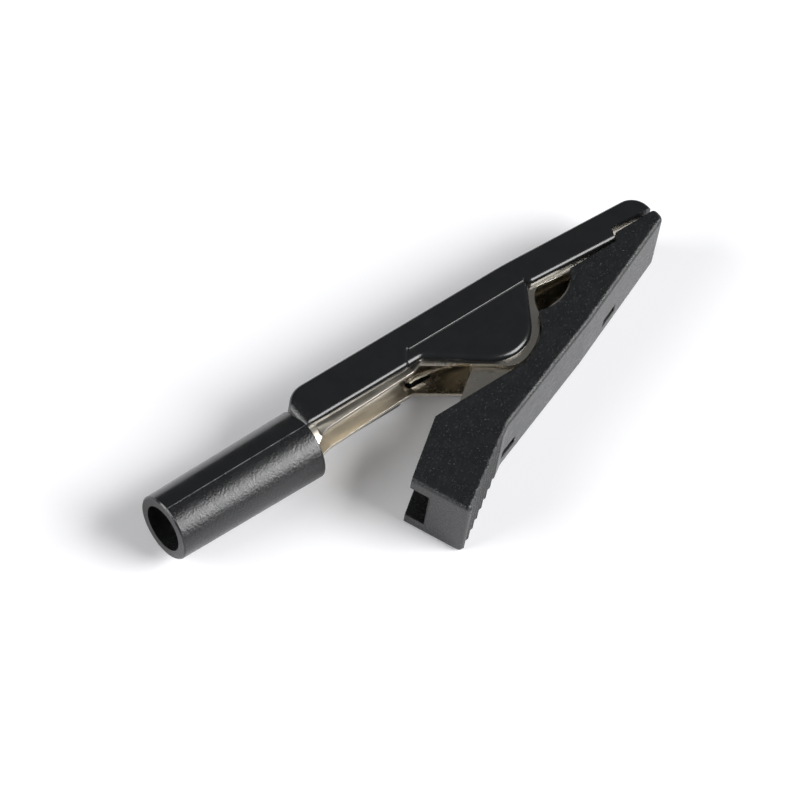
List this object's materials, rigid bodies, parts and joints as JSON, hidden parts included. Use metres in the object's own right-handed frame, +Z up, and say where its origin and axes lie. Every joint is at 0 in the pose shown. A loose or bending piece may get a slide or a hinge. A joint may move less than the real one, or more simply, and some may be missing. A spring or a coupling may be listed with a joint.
{
  "type": "insulated crocodile clip",
  "caption": "Spring-loaded crocodile clip of nickel-plated sheet steel in black moulded insulators, with a barrel that takes a test lead's plug.",
  "frame": {"origin": "under the middle of the clip's bounding box, on the side face that it lies on", "axes": "+X from the barrel's mouth to the jaw tips, +Y from the lever to the body, +Z up, parallel to the pivot pin"},
  "size_m": [0.0556, 0.0186, 0.007],
  "materials": {
    "body_plastic": "black moulded plastic, satin bar and cheeks, half-gloss upper barrel",
    "lever_plastic": "black moulded plastic with a fine spark-eroded grain",
    "jaw_metal": "bright nickel plating on sheet steel",
    "pin_steel": "bright steel",
    "spring_steel": "bright spring wire"
  },
  "bodies": {
    "body": {"body_shell": "body_plastic", "upper_jaw": "jaw_metal", "pivot_pin": "pin_steel", "spring": "spring_steel"},
    "lever": {"lever_shell": "lever_plastic", "lower_jaw": "jaw_metal"}
  },
  "joints": [
    {"name": "lever_hinge", "type": "hinge", "parent": "body", "child": "lever", "pos_m": [0.00755, 0.00526, 0.0035], "axis": [0, 0, -1], "range_deg": [0, 27], "stiffness_Nm_per_rad": 0.03, "springref_deg": -34.38, "deforming": ["spring"]}
  ]
}
